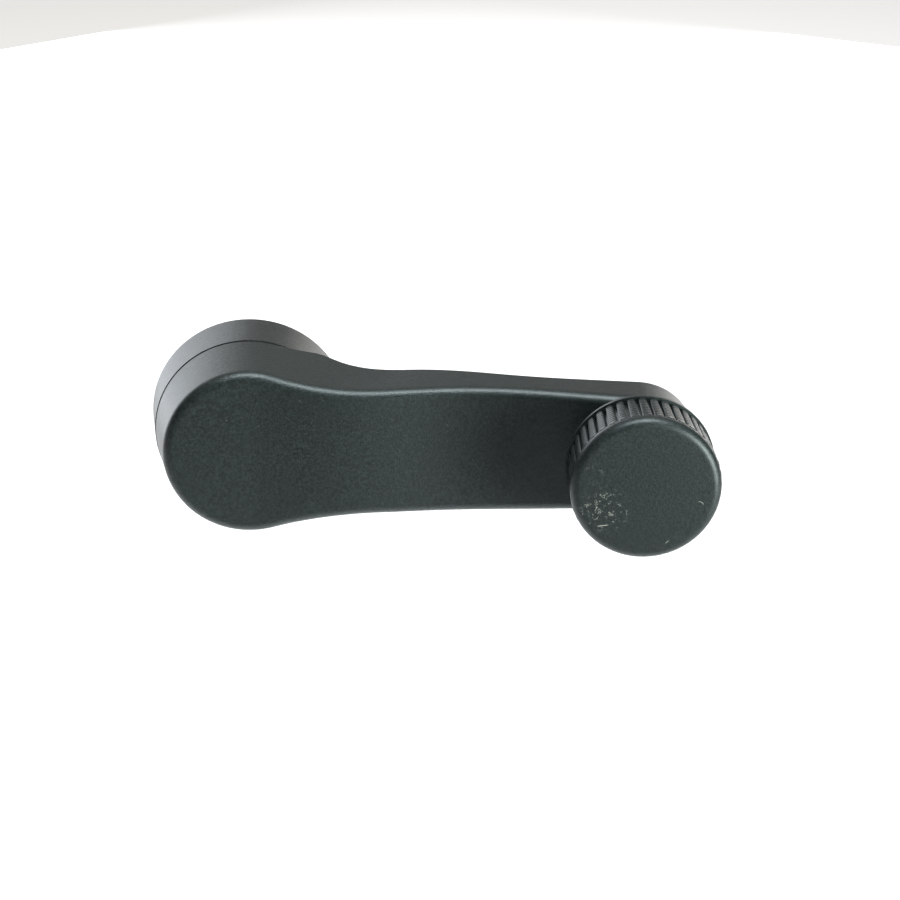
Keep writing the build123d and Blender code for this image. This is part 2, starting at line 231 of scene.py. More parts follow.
def smooth_line(points, where):
    """A cubic spline through the points, level at both ends: between points i and i+1 it is the cubic
    with heights y and slopes m, where the slopes make the second derivative continuous."""
    xs, ys = np.array(points, float).T
    gaps = np.diff(xs)
    rise = np.diff(ys) / gaps
    count = len(xs)
    matrix = np.eye(count)
    right = np.zeros(count)
    inner = np.arange(1, count - 1)
    matrix[inner, inner - 1] = gaps[1:]
    matrix[inner, inner] = 2 * (gaps[:-1] + gaps[1:])
    matrix[inner, inner + 1] = gaps[:-1]
    right[inner] = 3 * (gaps[1:] * rise[:-1] + gaps[:-1] * rise[1:])
    slopes = np.linalg.solve(matrix, right)
    x = np.clip(where, xs[0], xs[-1])
    i = np.clip(np.searchsorted(xs, x, side="right") - 1, 0, count - 2)
    gap = gaps[i]
    t = (x - xs[i]) / gap
    return (
        ys[i] * (1 + 2 * t) * (1 - t) ** 2
        + slopes[i] * gap * t * (1 - t) ** 2
        + ys[i + 1] * t**2 * (3 - 2 * t)
        + slopes[i + 1] * gap * t**2 * (t - 1)
    )


def spread(*stops):
    """Numbers from stop to stop, given as (start, end, steps, ...), without repeating a stop."""
    parts = [np.array([stops[0]])]
    for steps, end in zip(stops[1::2], stops[2::2]):
        parts.append(np.linspace(parts[-1][-1], end, steps + 1)[1:])
    return np.concatenate(parts)


class LeverForm:
    """The lever's outline and heights. The outline is a hub circle, a concave neck arc, a straight
    side, a long taper arc and a round end. Every arc keeps its angles at every height, while the radii
    shrink with height by the draft, so the walls are ruled and tangent to each other."""

    def __init__(self, sizes):
        self.throw = sizes.throw * 1000
        self.hub = sizes.hub_radius * 1000
        self.side = sizes.half_width * 1000
        self.narrow = sizes.end_narrowing * 1000
        self.wall = sizes.wall * 1000
        self.edge = sizes.edge * 1000
        self.crown = sizes.crown * 1000
        neck_rise = self.hub - (WAIST_FACE - SEAM) * HUB_DRAFT
        neck_arc = (NECK_END**2 / (neck_rise - self.side) - neck_rise - self.side) / 2
        self.neck_angle = math.asin(NECK_END / (neck_rise + neck_arc))
        reach = self.throw - TAPER_START
        end_arc = reach**2 / (2 * self.narrow) + self.side - self.narrow / 2
        self.taper_angle = math.asin(reach / (end_arc - self.side + self.narrow))
        right = math.pi / 2
        pieces = [
            (0, spread(math.pi, 84, right + self.neck_angle, 12, right - self.neck_angle)),
            (1, spread(-right - self.neck_angle, 52, -right)),
            (2, spread(0.0, 28, 1.0)),
            (3, spread(right, 64, right - self.taper_angle)),
            (4, spread(right - self.taper_angle, 60, 0.0)),
        ]
        self.kind = np.concatenate([np.full(len(a) - (k > 0), k) for k, a in pieces])[:, None]
        self.angle = np.concatenate([a[(k > 0) * 1 :] for k, a in pieces])[:, None]

    def outline(self, height, inset):
        """Points (x, y) of the upper half at the heights given, moved in by the inset: one row for
        each place along the outline."""
        hub = self.hub - (height - SEAM) * HUB_DRAFT - inset
        side = self.side - (height - WAIST_FACE) * LEVER_DRAFT - inset
        end = side - self.narrow
        ca, cb = math.cos(self.neck_angle), math.cos(self.taper_angle)
        sa, sb = math.sin(self.neck_angle), math.sin(self.taper_angle)
        neck = (hub * ca - side) / (1 - ca)
        taper = (side - end * cb) / (1 - cb)
        neck_x = (hub + neck) * sa
        taper_x = self.throw - (taper - end) * sb
        a = self.angle
        kinds = [self.kind == k for k in range(5)]
        x = np.select(
            kinds,
            [
                hub * np.cos(a),
                neck_x + neck * np.cos(a),
                neck_x + (taper_x - neck_x) * a,
                taper_x + taper * np.cos(a),
                self.throw + end * np.cos(a),
            ],
        )
        y = np.select(
            kinds,
            [
                hub * np.sin(a),
                side + neck + neck * np.sin(a),
                side + 0 * a,
                side - taper + taper * np.sin(a),
                end * np.sin(a),
            ],
        )
        return x, y

    def outward(self):
        """The outline's flat outward normal: the arc's own direction, turned round on the neck."""
        sign = np.where(self.kind == 1, -1.0, 1.0)
        straight = self.kind == 2
        nx = np.where(straight, 0.0, sign * np.cos(self.angle))
        ny = np.where(straight, 1.0, sign * np.sin(self.angle))
        return nx, ny

    def face(self, x, y):
        """Height of the face: the side profile at x, less the crown times (y / half width) squared."""
        return smooth_line(FACE_POINTS, x) - self.crown * (y / self.side) ** 2

    def back(self, x):
        """Height of the lever's back edge: the seam plus the lift at x."""
        return SEAM + smooth_line(BACK_POINTS, x)

    def meets(self, level, inset):
        """Height at which the wall meets a surface z = level(x, y), by repeated substitution."""
        height = np.full(self.kind.shape, SEAM + 10)
        for _ in range(30):
            x, y = self.outline(height, inset)
            height = level(x, y)
        return height

    def spine(self, radius):
        """Where the face's lines start: along the middle of the lever up to the knob's seat, then
        round the seat's circle, as the outline goes from the hub's left to the lever's end."""
        x = self.outline(np.full(self.kind.shape, WAIST_FACE), 0)[0]
        gate = self.throw - GATE_BEFORE_KNOB
        left = x[0]
        share = np.clip((x - left) / (gate - left), 0, 1)
        slit = SLIT_START + (self.throw - radius - SLIT_START) * share
        turn = math.pi * (1 - 0.5 * np.clip((x - gate) / (self.throw - gate), 0, 1))
        end_turn = self.angle * (math.pi / 2) / (math.pi / 2 - self.taper_angle)
        turn = np.where(self.kind == 4, end_turn, turn)
        round_seat = x >= gate
        sx = np.where(round_seat, self.throw + radius * np.cos(turn), slit)
        sy = np.where(round_seat, radius * np.sin(turn), 0.0)
        return sx, sy, round_seat[:, 0], turn[:, 0]


def unit(v):
    """Vectors divided by their lengths."""
    return v / np.linalg.norm(v, axis=-1, keepdims=True)


def lever_skin(form):
    """The moulding's skin, in lines from the spine out over the face, round the edge, down the wall,
    under the rim, up the inner wall and back to the spine. The edge is a rolled ball: its centre is
    I - r (a + b) / (1 + a.b), with I where face and wall meet and a, b their normals, and it is swept
    from a to b."""
    meet = form.meets(form.face, 0)
    x, y = form.outline(meet, 0)
    up_x, up_y = form.outline(meet + 1, 0)
    nx, ny = form.outward()
    slope = (form.face(x + 0.05, y) - form.face(x - 0.05, y)) / 0.1
    across = (form.face(x, y + 0.05) - form.face(x, y - 0.05)) / 0.1
    on_face = unit(np.concatenate([-slope, -across, np.ones_like(slope)], -1))
    on_wall = unit(np.concatenate([nx, ny, -(nx * (up_x - x) + ny * (up_y - y))], -1))
    together = np.sum(on_face * on_wall, -1, keepdims=True)
    corner = np.concatenate([x, y, meet], -1)
    centre = corner - form.edge * (on_face + on_wall) / (1 + together)
    sweep = np.arccos(together)
    part = np.linspace(0, 1, 13)[None, :, None]
    turned = (
        np.sin((1 - part) * sweep[:, None]) * on_face[:, None]
        + np.sin(part * sweep[:, None]) * on_wall[:, None]
    ) / np.sin(sweep[:, None])
    rolled = centre[:, None] + form.edge * turned
    # Face lines, with the last of them ending exactly on the rolled edge.
    share = np.linspace(0, 1, 38)[:-1][None]
    sx, sy, round_seat, turn = form.spine(SEAT_RADIUS)
    ex, ey, ez = (rolled[:, 0, i][:, None] for i in range(3))
    fx = sx + (ex - sx) * share
    fy = sy + (ey - sy) * share
    fz = form.face(fx, fy) + (ez - form.face(ex, ey)) * share**4
    over_face = np.stack([fx, fy, fz], -1)
    # Side wall from the rolled edge down to the rounded rim.
    rim = OUTER_RIM
    low = form.meets(lambda px, py: form.back(px), 0)
    top = rolled[:, -1, 2][:, None]
    down = np.linspace(0, 1, 27)[1:][None]
    wall_z = top + (low + rim - top) * down
    wall = np.stack([*form.outline(wall_z, 0 * down), wall_z], -1)
    bend = np.linspace(0, math.pi / 2, 5)[1:][None]
    lip_z = low + rim - rim * np.sin(bend)
    lip = np.stack([*form.outline(lip_z, rim * (1 - np.cos(bend))), lip_z], -1)
    bend = np.linspace(0, math.pi / 2, 4)[None]
    inner_z = low + INNER_RIM - INNER_RIM * np.cos(bend)
    inner_inset = form.wall - INNER_RIM + INNER_RIM * np.sin(bend)
    inner_lip = np.stack([*form.outline(inner_z, inner_inset), inner_z], -1)
    ceiling = form.meets(lambda px, py: form.face(px, py) - form.wall, form.wall)
    climb = np.linspace(0, 1, 9)[1:][None]
    inside_z = low + INNER_RIM + (ceiling - low - INNER_RIM) * climb
    inside = np.stack([*form.outline(inside_z, form.wall + 0 * climb), inside_z], -1)
    ix, iy, _, _ = form.spine(HOLLOW_RADIUS)
    home = np.linspace(0, 1, 13)[1:][None]
    hx = inside[:, -1, 0][:, None] * (1 - home) + ix * home
    hy = inside[:, -1, 1][:, None] * (1 - home) + iy * home
    under_face = np.stack([hx, hy, form.face(hx, hy) - form.wall], -1)
    upper = np.concatenate([over_face, rolled, wall, lip, inner_lip, inside, under_face], 1)
    return upper, round_seat, turn


def knob_seat(form, turn):
    """The raised seat and its hole: a profile of radius and height turned about the knob axis, whose
    first ring lies on the face and whose last ring lies under it."""
    cos, sin = np.cos(turn)[:, None], np.sin(turn)[:, None]
    bend = np.linspace(0, math.pi / 2, 5)
    radius = np.concatenate([
        [SEAT_RADIUS],
        SEAT_RADIUS - SEAT_EDGE + SEAT_EDGE * np.cos(bend),
        [8.0, HOLE_RADIUS + SEAT_EDGE],
        HOLE_RADIUS + SEAT_EDGE * (1 - np.sin(bend[1:])),
        [HOLE_RADIUS, HOLE_RADIUS, HOLLOW_RADIUS, HOLLOW_RADIUS],
    ])
    # The first and last heights are set from the face below.
    height = np.concatenate([
        [0.0],
        SEAT_TOP - SEAT_EDGE + SEAT_EDGE * np.sin(bend),
        [SEAT_TOP] * 2,
        SEAT_TOP - SEAT_EDGE * (1 - np.cos(bend[1:])),
        [HOLE_END, HOLLOW_TOP, HOLLOW_TOP, 0.0],
    ])
    x = form.throw + radius * cos
    y = radius * sin
    z = np.broadcast_to(height, x.shape).copy()
    z[:, 0] = form.face(x, y)[:, 0]
    z[:, -1] = (form.face(x, y) - form.wall)[:, -1]
    return np.stack([x, y, z], -1)


def mirrored(half):
    """The other half across the lever's middle: y becomes -y."""
    return half[::-1] * np.array([1.0, -1.0, 1.0])


def knob_skin(sizes, throw):
    """The knob's cap as radius and turn over a grid. Down the side each rib is a flat-topped ridge with
    rounded shoulders, its half width growing from rim to front, closing in a quarter ellipse at the rim.
    Fine rungs lower the rib by a narrow bell curve at an even pitch. The face is a shallow crown."""
    radius, taper = sizes.radius * 1000, sizes.taper * 1000
    count, pitch = sizes.ribs, sizes.rung * 1000
    edge = sizes.edge * 1000
    top = -cap_low.y * 1000
    period = 2 * math.pi / count
    band = radius - 0.1
    rungs = np.arange(CAP_BOTTOM + 1.25, SKIRT_TOP - 0.35, pitch)
    near = np.array([-0.2, -0.08, 0.0, 0.08, 0.2, pitch / 2])
    rows = np.concatenate([
        CAP_BOTTOM + np.array([0.01, 0.03, 0.07, 0.13, 0.21, 0.31, 0.43, 0.55, 0.7]),
        (rungs[:, None] + near).ravel(),
        [SKIRT_TOP - 0.06],
    ])
    rows = np.unique(np.clip(rows, CAP_BOTTOM, SKIRT_TOP - 0.06))[:, None]
    along = (rows - CAP_BOTTOM) / (SKIRT_TOP - CAP_BOTTOM)
    hill = radius - taper * (1 - along)
    width = sizes.rim_groove * 1000 * (1 - along) + sizes.front_groove * 1000 * along
    depth = sizes.depth * 1000 * (1 - along) + FRONT_GROOVE_DEPTH * along
    rib = period - width / hill
    closing = np.clip((rows - CAP_BOTTOM) / RIB_CLOSING, 0, 1)
    rib = rib * np.sqrt(1 - (1 - closing) ** 2 * 0.96)
    distance = np.min(np.abs(rows - rungs[None]), axis=1, keepdims=True)
    rung = RUNG_DEPTH * np.exp(-((distance / RUNG_HALF_WIDTH) ** 2))
    share = np.array([0.0, 0.03, 0.1, 0.22, 0.36, 0.5, 0.64, 0.78, 0.9, 0.97, 1.0])
    across = 2 * share - 1
    crest = hill - 0.13 * np.abs(across) ** 3 - 0.1 * (np.abs(across) > 0.99) - rung
    rib_turn = (share - 0.5) * rib
    floor_turn = period / 2 + np.array([-0.44, -0.2, 0.2, 0.44]) * (period - rib)
    floor = hill - depth + np.zeros(4)
    turn = np.concatenate([rib_turn, floor_turn], 1)
    reach = np.concatenate([crest, floor], 1)
    start = period * np.arange(count)[None, :, None]
    turn = (turn[:, None] + start).reshape(len(rows), -1)
    reach = np.tile(reach, (1, count))
    even = turn[-1:]
    bend = np.linspace(0, math.pi / 2, 12)[:, None]
    face = np.linspace(1, 0, 26)[1:, None]
    flat = band - edge
    upper_r = np.concatenate([[[band], [band]], flat + edge * np.cos(bend), flat * face])
    upper_z = np.concatenate([
        [[SKIRT_TOP], [SKIRT_TOP + 0.2]],
        top - CAP_CROWN - edge + edge * np.sin(bend),
        top - CAP_CROWN * face**2,
    ])
    inner_r = np.array([[radius - taper - 1.0], [CAP_BORE], [CAP_BORE], [0.0]])
    inner_z = np.array([[CAP_BOTTOM], [CAP_BOTTOM], [CAP_CEILING], [CAP_CEILING]])
    wide = np.ones_like(even)
    ring_r = np.concatenate([inner_r[::-1] * wide, reach, upper_r * wide])
    ring_z = np.concatenate([inner_z[::-1] * wide, rows * wide, upper_z * wide])
    ring_t = np.concatenate([np.repeat(turn[:1], 4, 0), turn, np.repeat(even, len(upper_r), 0)])
    grid = np.stack([throw + ring_r * np.cos(ring_t), ring_r * np.sin(ring_t), ring_z], -1)
    return np.concatenate([grid, grid[:, :1]], 1)


# Finishes


class Wire:
    """A socket in a finish. Arithmetic on it adds Math nodes to the same finish."""

    def __init__(self, finish, socket):
        self.finish = finish
        self.socket = socket

    def maths(self, operation, *values):
        """One Math node on the values, in order."""
        node = self.finish.node("ShaderNodeMath", {"operation": operation}, dict(enumerate(values)))
        return Wire(self.finish, node.outputs[0])

    def __add__(self, other):
        return self.maths("ADD", self, other)

    def __radd__(self, other):
        return self.maths("ADD", other, self)

    def __sub__(self, other):
        return self.maths("SUBTRACT", self, other)

    def __rsub__(self, other):
        return self.maths("SUBTRACT", other, self)

    def __mul__(self, other):
        return self.maths("MULTIPLY", self, other)

    def __rmul__(self, other):
        return self.maths("MULTIPLY", other, self)

    def __truediv__(self, other):
        return self.maths("DIVIDE", self, other)

    def __rtruediv__(self, other):
        return self.maths("DIVIDE", other, self)

    def __pow__(self, other):
        return self.maths("POWER", self, other)

    def __abs__(self):
        return self.maths("ABSOLUTE", self)

    def above(self, edge, soft):
        """0 below the edge and 1 above it, with a ramp of the given width."""
        ramp = self.finish.node(
            "ShaderNodeMapRange",
            {"clamp": True, "interpolation_type": "SMOOTHSTEP"},
            {"Value": self, "From Min": edge - soft / 2, "From Max": edge + soft / 2},
        )
        return Wire(self.finish, ramp.outputs[0])

    def below(self, edge, soft):
        """1 below the edge and 0 above it."""
        return 1 - self.above(edge, soft)


class Finish:
    """One material. Patterns are read in Object coordinates, which are the frame's metres."""

    def __init__(self, name, roughness, metallic=0.0):
        self.material = bpy.data.materials.new(name)
        self.material.use_nodes = True
        self.tree = self.material.node_tree
        self.shader = self.tree.nodes["Principled BSDF"]
        self.shader.inputs["Roughness"].default_value = roughness
        self.shader.inputs["Metallic"].default_value = metallic
        self.place = Wire(self, self.node("ShaderNodeTexCoord").outputs["Object"])
        split = self.node("ShaderNodeSeparateXYZ", {}, {0: self.place})
        self.x, self.y, self.z = (Wire(self, split.outputs[i]) for i in range(3))

    def node(self, kind, settings=None, values=None):
        """Any node: its type, its settings first, then values or wires for its sockets."""
        made = self.tree.nodes.new(kind)
        for key, value in (settings or {}).items():
            setattr(made, key, value)
        for key, value in (values or {}).items():
            self.feed(made.inputs[key], value)
        return made

    def feed(self, socket, value):
        """Links a wire to a socket, or sets the socket's own value."""
        if isinstance(value, Wire):
            self.tree.links.new(value.socket, socket)
        elif hasattr(socket.default_value, "__len__") and len(socket.default_value) == 4:
            socket.default_value = (*value[:3], 1.0)
        else:
            socket.default_value = value

    def noise(self, scale, detail=2.0, rough=0.5, place=None):
        """A noise value from 0 to 1, with the scale in features per metre."""
        made = self.node(
            "ShaderNodeTexNoise", {},
            {"Vector": place or self.place, "Scale": scale, "Detail": detail, "Roughness": rough},
        )
        return Wire(self, made.outputs[0])

    def cells(self, scale, place=None):
        """Distance to the nearest cell centre and that cell's random value."""
        made = self.node("ShaderNodeTexVoronoi", {}, {"Vector": place or self.place, "Scale": scale})
        tone = self.node("ShaderNodeSeparateColor", {}, {0: Wire(self, made.outputs["Color"])})
        return Wire(self, made.outputs["Distance"]), Wire(self, tone.outputs[0])

    def stretched(self, amounts, turn=(0.0, 0.0, 0.0)):
        """Object coordinates turned and then scaled by an amount along each axis."""
        made = self.node("ShaderNodeMapping", {}, {0: self.place, "Rotation": turn, "Scale": amounts})
        return Wire(self, made.outputs[0])

    def mix(self, share, first, second):
        """A colour between two colours."""
        made = self.node("ShaderNodeMix", {"data_type": "RGBA"}, {0: share, 6: first, 7: second})
        return Wire(self, made.outputs[2])

    def paint(self, name, value):
        """Feeds one of the shader's sockets."""
        self.feed(self.shader.inputs[name], value)

    def relief(self, height, depth):
        """Bumps the surface by a height from 0 to 1 times a depth in metres."""
        made = self.node("ShaderNodeBump", {}, {"Height": height, "Distance": depth, "Strength": 1.0})
        self.paint("Normal", Wire(self, made.outputs[0]))

    def stroke(self, place, length, width, turn, sag=0.0):
        """A fine scratch on a face that looks along Y: 1 within the width of a line of the length,
        turned by an angle and bent by the sag."""
        dx, dz = self.x - place[0], self.z - place[1]
        along = dx * math.cos(turn) + dz * math.sin(turn)
        aside = dz * math.cos(turn) - dx * math.sin(turn)
        bent = aside - (1 - (along / (length / 2)) ** 2.0) * sag if sag else aside
        return abs(bent).below(width / 2, width / 2) * abs(along).below(length / 2, length / 4)


def deeper(tone, share):
    """A colour made darker or lighter by a share."""
    return tuple(min(1.0, c * share) for c in tone)


def moulded_black(name, tone, roughness):
    """Satin black moulding: spark-eroded grain, slow changes of gloss and tone, and grains of dust."""
    f = Finish(name, roughness)
    grain_fine = f.noise(2400.0, 2.0, 0.6)
    grain_wide = f.noise(1000.0, 2.0, 0.5)
    cloud = f.noise(60.0, 3.0, 0.5)
    mottle = f.noise(1700.0, 2.0, 0.6)
    body = f.mix(mottle.above(0.5, 0.35), deeper(tone, 0.45), deeper(tone, 1.7))
    body = f.mix(cloud.above(0.5, 0.4) * 0.5, body, deeper(tone, 0.85))
    spot, chance = f.cells(420.0)
    dust = spot.below(0.07, 0.05) * chance.above(0.94, 0.02)
    f.paint("Base Color", f.mix(dust * 0.35, body, (0.2, 0.19, 0.17)))
    f.paint("Roughness", roughness - 0.05 + cloud * 0.05 + grain_wide * 0.05)
    f.relief(grain_fine * 0.6 + grain_wide * 0.4, GRAIN_DEPTH)
    return f


def knob_black(colours, centre):
    """The knob's satin black with a scuffed patch low on the left of its face, a few fine scratches
    and dust. Scuffs are the narrow bands where a twisted noise is near its middle value."""
    tone = colours.knob
    f = moulded_black("winder_knob_black", tone, 0.42)
    body = Wire(f, f.shader.inputs["Base Color"].links[0].from_socket)
    rough = Wire(f, f.shader.inputs["Roughness"].links[0].from_socket)
    cx, cz, front = centre
    face = (0 - f.y).above(front - 0.0006, 0.0004)

    def patch(px, pz, wide, high):
        u, v = (f.x - (cx + px)) / wide, (f.z - (cz + pz)) / high
        return (u * u + v * v).below(0.6, 1.1)

    twisted = f.stretched((1.0, 1.0, 1.0), (0.0, 0.5, 0.0))
    lines = abs(f.noise(700.0, 3.0, 0.65, twisted) - 0.5).below(0.012, 0.012)
    broken = f.noise(900.0, 2.0).above(0.56, 0.06)
    spot, chance = f.cells(1300.0)
    nicks = spot.below(0.22, 0.1) * chance.above(0.80, 0.05)
    low_left = patch(-0.0095, -0.0045, 0.0062, 0.0058)
    upper_left = patch(-0.0120, 0.0040, 0.0026, 0.0026)
    scuff = (lines * broken + nicks * 0.7) * (low_left * 0.75 + upper_left * 0.45)
    scratches = f.stroke((cx - 0.0096, cz - 0.0083), 0.0022, 0.00016, 0.12)
    scratches = scratches + f.stroke((cx + 0.0121, cz - 0.0033), 0.0013, 0.00014, -0.55, 0.0002) * 0.7
    scratches = scratches + f.stroke((cx + 0.0048, cz - 0.0126), 0.0009, 0.00014, 0.75) * 0.7
    scratches = scratches + f.stroke((cx - 0.0112, cz - 0.0042), 0.0012, 0.00013, 1.1) * 0.5
    scratches = scratches + f.stroke((cx - 0.0100, cz - 0.0012), 0.0010, 0.00013, 2.2) * 0.4
    worn = f.node("ShaderNodeClamp", {}, {0: (scuff + scratches) * face})
    worn = Wire(f, worn.outputs[0])
    f.paint("Base Color", f.mix(worn, body, colours.wear_and_glint))
    f.paint("Roughness", rough + worn * 0.2)
    return f.material


def ring_black(colours, seam):
    """The ring's satin black, with painted highlights: pale specks along its edge at the seam stand in for
    the glints it catches.
    """
    f = moulded_black("winder_ring_black", colours.ring, 0.45)
    body = Wire(f, f.shader.inputs["Base Color"].links[0].from_socket)
    # Painted highlights: a band along the seam, broken by noise into pale specks of the wear colour and
    # denser where x is positive, stands in for glints.
    edge = (0 - f.y).above(seam - 0.0003, 0.0003)
    seam_glints = f.noise(420.0, 2.0, 0.6).above(0.60, 0.04) * (f.x.above(0.0, 0.01) * 0.7 + 0.3)
    f.paint("Base Color", f.mix(edge * seam_glints, body, colours.wear_and_glint))
    return f.material


def nylon_carrier(colours, pins):
    """Glass-filled nylon: short fibres that lie along the lever, dull flow clouds and the shallow round
    marks of the mould's ejector pins."""
    tone = colours.carrier
    f = Finish("winder_carrier_nylon", 0.6)
    fibres = f.noise(1500.0, 2.0, 0.6, f.stretched((0.22, 1.0, 1.0)))
    cross = f.noise(1500.0, 2.0, 0.6, f.stretched((1.0, 1.0, 0.22)))
    flow = f.noise(90.0, 4.0, 0.6)
    body = f.mix(fibres.above(0.62, 0.1) * 0.6, deeper(tone, 0.9), deeper(tone, 2.0))
    body = f.mix(cross.above(0.66, 0.1) * 0.4, body, deeper(tone, 1.7))
    f.paint("Base Color", f.mix(flow.above(0.52, 0.3) * 0.5, body, deeper(tone, 0.7)))
    f.paint("Roughness", 0.52 + flow * 0.2)
    height = fibres * 0.4 + f.noise(2200.0) * 0.2
    for px, pz in pins:
        u, v = f.x - px, f.z - pz
        away = (u * u + v * v) ** 0.5
        height = height - away.below(0.0018, 0.0001) * 0.5
    f.relief(height, 0.00006)
    return f.material


def turned_steel(name, tone, axis, roughness=0.34):
    """Plated steel turned on a lathe: fine rings about an axis along Y, clouds in the plating and a few
    darker stains."""
    f = Finish(name, roughness, metallic=1.0)
    u, v = f.x - axis, f.z
    away = (u * u + v * v) ** 0.5
    phase = away * TURNING_PHASE + f.noise(300.0) * 3
    lathe = phase.maths("SINE", phase)
    cloud = f.noise(420.0, 4.0, 0.6)
    spangle = f.cells(1800.0)[1]
    body = f.mix(cloud.above(0.5, 0.3), deeper(tone, 0.8), deeper(tone, 1.1))
    body = f.mix(spangle * 0.3, body, deeper(tone, 0.75))
    f.paint("Base Color", f.mix(f.noise(150.0, 3.0).above(0.68, 0.1) * 0.4, body, (0.22, 0.19, 0.14)))
    f.paint("Roughness", roughness - 0.06 + cloud * 0.16)
    f.relief(lathe * 0.3 + f.noise(3000.0) * 0.5, 0.000012)
    return f.material


def oiled_spring_steel(colours):
    """Blued, oiled spring steel: a rolling grain along X, with brown and blue tints."""
    tone = colours.spring
    f = Finish("winder_spring_steel", 0.36, metallic=1.0)
    rolled = f.noise(2500.0, 2.0, 0.6, f.stretched((0.06, 1.0, 1.0)))
    tint = f.noise(260.0, 3.0, 0.5)
    body = f.mix(tint.above(0.52, 0.3), deeper(tone, 0.85), (0.21, 0.22, 0.26))
    f.paint("Base Color", f.mix(f.noise(500.0, 2.0).above(0.62, 0.1) * 0.5, body, (0.24, 0.19, 0.14)))
    f.paint("Roughness", 0.30 + rolled * 0.14)
    f.relief(rolled, 0.00001)
    return f.material


def natural_acetal(colours):
    """Waxy off-white acetal with faint flow clouds and grease-grey specks."""
    f = Finish("winder_acetal", 0.38)
    cloud = f.noise(500.0, 3.0, 0.5)
    spot, chance = f.cells(1500.0)
    body = f.mix(cloud, deeper(colours.acetal, 0.92), deeper(colours.acetal, 1.05))
    f.paint("Base Color", f.mix(spot.below(0.2, 0.1) * chance.above(0.93, 0.02), body, (0.3, 0.29, 0.26)))
    f.paint("Roughness", 0.32 + cloud * 0.14)
    f.relief(f.noise(2500.0), 0.00001)
    return f.material


def dress(node, finish):
    """Gives a CAD node its finish in its slot."""
    piece = frame["nodes"][node]
    piece.data.materials.clear()
    piece.data.materials.append(finish)


# Operators


class WINDER_OT_lever(bpy.types.Operator):
    """Builds the lever's outer moulding"""

    bl_idname = "winder.lever"
    bl_label = "Lever moulding"

    def execute(self, context):
        form = LeverForm(context.scene.winder_lever)
        upper, round_seat, turn = lever_skin(form)
        seat = knob_seat(form, turn[round_seat])
        piece = make_piece("lever_moulding", [upper, mirrored(upper), seat, mirrored(seat)])
        black = moulded_black("winder_lever_black", context.scene.winder_colours.lever, 0.42).material
        finish_piece(piece, "crank", "arm_cover", black)
        return {"FINISHED"}


class WINDER_OT_ring(bpy.types.Operator):
    """Finishes the sliding release ring"""

    bl_idname = "winder.ring"
    bl_label = "Release ring"

    def execute(self, context):
        colours = context.scene.winder_colours
        dress("release_ring", ring_black(colours, -ring_low.y))
        return {"FINISHED"}


class WINDER_OT_knob(bpy.types.Operator):
    """Builds the ribbed knob cap and finishes its core"""

    bl_idname = "winder.knob"
    bl_label = "Knob"

    def execute(self, context):
        throw = context.scene.winder_lever.throw * 1000
        grid = knob_skin(context.scene.winder_knob, throw)
        piece = make_piece("knob_grip", [grid], 50.0)
        colours = context.scene.winder_colours
        black = knob_black(colours, (knob_pin[0], knob_pin[2], -cap_low.y))
        finish_piece(piece, "knob", "knob_cap", black)
        core = moulded_black("winder_core_black", deeper(colours.knob, 1.1), 0.5).material
        dress("knob_core", core)
        return {"FINISHED"}


class WINDER_OT_carrier(bpy.types.Operator):
    """Finishes the ribbed carrier inside the lever"""

    bl_idname = "winder.carrier"
    bl_label = "Carrier"

    def execute(self, context):
        pins = [
            (0.030, 0.0), (0.046, 0.007), (0.046, -0.007), (0.062, 0.0), (0.076, 0.008), (0.076, -0.008),
        ]
        dress("arm_carrier", nylon_carrier(context.scene.winder_colours, pins))
        return {"FINISHED"}


class WINDER_OT_steel(bpy.types.Operator):
    """Finishes the bush, the spindle, the washers, the fork and the clip"""

    bl_idname = "winder.steel"
    bl_label = "Steel pieces"

    def execute(self, context):
        colours = context.scene.winder_colours
        pin_steel = turned_steel("winder_pin_steel", colours.zinc, knob_pin[0])
        dress("spline_bush", turned_steel("winder_bush_steel", colours.zinc, 0.0, 0.4))
        for node in ("knob_spindle", "backing_washer", "clip_washer"):
            dress(node, pin_steel)
        spring = oiled_spring_steel(colours)
        for node in ("lock_fork", "spring_washer", "spindle_clip"):
            dress(node, spring)
        return {"FINISHED"}


class WINDER_OT_bearings(bpy.types.Operator):
    """Finishes the acetal bearing and thrust washer"""

    bl_idname = "winder.bearings"
    bl_label = "Bearings"

    def execute(self, context):
        acetal = natural_acetal(context.scene.winder_colours)
        for node in ("knob_bearing", "thrust_washer"):
            dress(node, acetal)
        return {"FINISHED"}


def soft_box(name, place, target, size, power, tint, spread=180):
    """A rectangular light at a place, facing a target, with its beam kept within a spread in degrees."""
    lamp = bpy.data.lights.new(name, "AREA")
    lamp.shape = "RECTANGLE"
    lamp.size, lamp.size_y = size
    lamp.energy = power
    lamp.color = tint
    lamp.spread = math.radians(spread)
    light = bpy.data.objects.new(name, lamp)
    bpy.context.scene.collection.objects.link(light)
    light.visible_camera = False
    light.location = place
    light.rotation_euler = (Vector(target) - Vector(place)).to_track_quat("-Z", "Y").to_euler()
    return light


